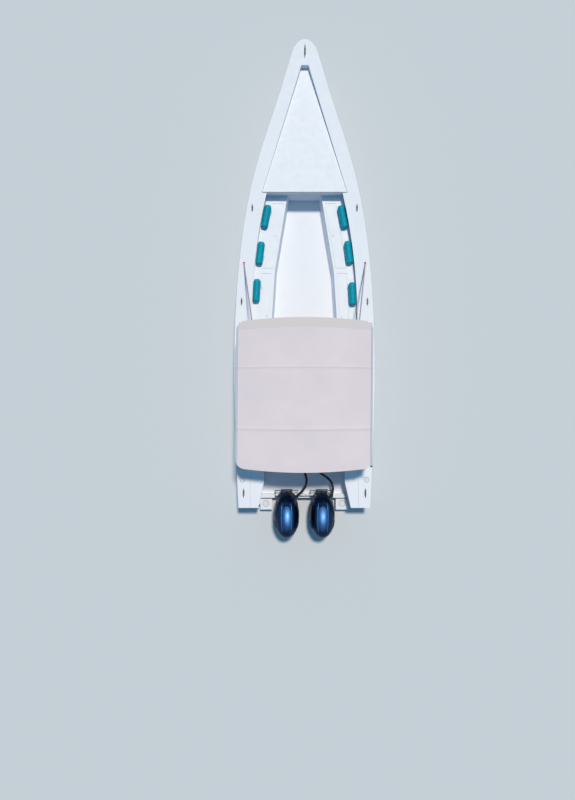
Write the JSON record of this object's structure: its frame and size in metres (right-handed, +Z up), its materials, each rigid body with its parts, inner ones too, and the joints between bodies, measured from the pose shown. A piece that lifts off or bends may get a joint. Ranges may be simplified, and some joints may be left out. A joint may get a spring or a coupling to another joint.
{
  "type": "open speedboat with twin outboard motors",
  "caption": "Open passenger speedboat with a fixed awning, side benches with lift-up lids and steered, tilting outboard motors.",
  "frame": {"origin": "where the waterline, the centreline and the aft face of the transom meet", "axes": "+X starboard, +Y towards the bow, +Z up"},
  "size_m": [3.0548, 10.584, 2.9672],
  "materials": {
    "hull_white": "glossy gelcoat",
    "deck_white": "satin gelcoat",
    "strake_grey": "satin",
    "steel": "polished stainless",
    "cushion_teal": "marine vinyl",
    "awning_cloth": "woven canvas",
    "motor_blue": "metallic gloss",
    "motor_grey": "satin",
    "motor_dark": "satin",
    "motor_block": "plain",
    "hose_black": "matt",
    "helm_black": "matt",
    "screen_glass": "clear"
  },
  "bodies": {
    "boat": {"hull": "hull_white", "fore_hull": "hull_white", "foredeck_surround": "hull_white", "transom": "hull_white", "stern_pods": "hull_white", "side_decks": "deck_white", "quarter_decks": "deck_white", "foredeck": "deck_white", "cockpit_sole": "deck_white", "benches": "deck_white", "console": "deck_white", "helm_seat_base": "deck_white", "rubbing_strake": "strake_grey", "lid_hinges": "steel", "awning_bows": "steel", "awning_rails": "steel", "awning_legs": "steel", "awning_braces": "steel", "cleats": "steel", "deck_plates": "steel", "bow_eye": "steel", "backrests": "cushion_teal", "helm_seat_cushion": "cushion_teal", "awning": "awning_cloth", "transom_bracket_port": "motor_dark", "transom_bracket_stbd": "motor_dark", "control_hose_port": "hose_black", "control_hose_stbd": "hose_black", "hose_grommets": "hose_black", "helm_shaft": "helm_black", "throttle": "helm_black", "windscreen": "screen_glass"},
    "tilt_port": {"swivel_bracket_port": "motor_dark"},
    "tilt_stbd": {"swivel_bracket_stbd": "motor_dark"},
    "ram_port": {"steering_ram_port": "motor_dark"},
    "ram_stbd": {"steering_ram_stbd": "motor_dark"},
    "motor_port": {"motor_leg_port": "motor_dark", "lower_cowl_port": "motor_grey", "cowl_port": "motor_blue", "powerhead_port": "motor_block"},
    "motor_stbd": {"motor_leg_stbd": "motor_dark", "lower_cowl_stbd": "motor_grey", "cowl_stbd": "motor_blue", "powerhead_stbd": "motor_block"},
    "prop_port": {"propeller_port": "steel"},
    "prop_stbd": {"propeller_stbd": "steel"},
    "tie": {"tie_bar": "steel"},
    "helm_wheel": {"steering_wheel": "helm_black"},
    "lid_fwd_port": {"lid_fwd_port": "deck_white"},
    "lid_fwd_stbd": {"lid_fwd_stbd": "deck_white"},
    "lid_aft_port": {"lid_aft_port": "deck_white"},
    "lid_aft_stbd": {"lid_aft_stbd": "deck_white"}
  },
  "joints": [
    {"name": "tilt_port", "type": "hinge", "parent": "boat", "child": "tilt_port", "pos_m": [-0.387, 0.04, 0.42], "axis": [-1, 0, 0], "range_deg": [-4, 60], "deforming": ["control_hose_port", "control_hose_stbd"]},
    {"name": "steer_port", "type": "hinge", "parent": "tilt_port", "child": "motor_port", "pos_m": [-0.387, -0.12, 0.472], "axis": [0, 0, 1], "range_deg": [-30, 30]},
    {"name": "ram_port", "type": "slide", "parent": "tilt_port", "child": "ram_port", "axis": [1, 0, 0], "range_m": [-0.105, 0.105]},
    {"name": "prop_port", "type": "hinge", "parent": "motor_port", "child": "prop_port", "pos_m": [-0.387, -0.76, -0.5], "axis": [0, 1, 0], "continuous": true},
    {"name": "tilt_stbd", "type": "hinge", "parent": "boat", "child": "tilt_stbd", "pos_m": [0.387, 0.04, 0.42], "axis": [-1, 0, 0], "range_deg": [-4, 60]},
    {"name": "steer_stbd", "type": "hinge", "parent": "tilt_stbd", "child": "motor_stbd", "pos_m": [0.387, -0.12, 0.472], "axis": [0, 0, 1], "range_deg": [-30, 30]},
    {"name": "ram_stbd", "type": "slide", "parent": "tilt_stbd", "child": "ram_stbd", "axis": [1, 0, 0], "range_m": [-0.105, 0.105]},
    {"name": "prop_stbd", "type": "hinge", "parent": "motor_stbd", "child": "prop_stbd", "pos_m": [0.387, -0.76, -0.5], "axis": [0, 1, 0], "continuous": true},
    {"name": "tie_bar", "type": "hinge", "parent": "motor_port", "child": "tie", "pos_m": [-0.387, 0.08, 0.525], "axis": [0, 0, 1], "range_deg": [-30, 30]},
    {"name": "helm_wheel", "type": "hinge", "parent": "boat", "child": "helm_wheel", "pos_m": [-0.11, 1.9413, 1.05813], "axis": [0, -0.7634, 0.6459], "range_deg": [-720, 720]},
    {"name": "lid_fwd_stbd", "type": "hinge", "parent": "boat", "child": "lid_fwd_stbd", "pos_m": [0.79809, 5.75, 0.736], "axis": [-0.1622, 0.9868, 0], "range_deg": [0, 80]},
    {"name": "lid_fwd_port", "type": "hinge", "parent": "boat", "child": "lid_fwd_port", "pos_m": [-0.79809, 5.75, 0.736], "axis": [-0.1622, -0.9868, 0], "range_deg": [0, 80]},
    {"name": "lid_aft_stbd", "type": "hinge", "parent": "boat", "child": "lid_aft_stbd", "pos_m": [0.96255, 3.99, 0.736], "axis": [-0.0402, 0.9992, 0], "range_deg": [0, 80]},
    {"name": "lid_aft_port", "type": "hinge", "parent": "boat", "child": "lid_aft_port", "pos_m": [-0.96255, 3.99, 0.736], "axis": [-0.0402, -0.9992, 0], "range_deg": [0, 80]}
  ],
  "couplings": [
    {"joint": "tilt_stbd", "follows": "tilt_port", "ratio": 1},
    {"joint": "steer_stbd", "follows": "steer_port", "ratio": 1},
    {"joint": "tie_bar", "follows": "steer_port", "ratio": -1},
    {"joint": "ram_port", "follows": "steer_port", "m_per_rad": -0.19099},
    {"joint": "ram_stbd", "follows": "steer_port", "m_per_rad": -0.19099},
    {"joint": "helm_wheel", "follows": "steer_port", "ratio": -24}
  ]
}
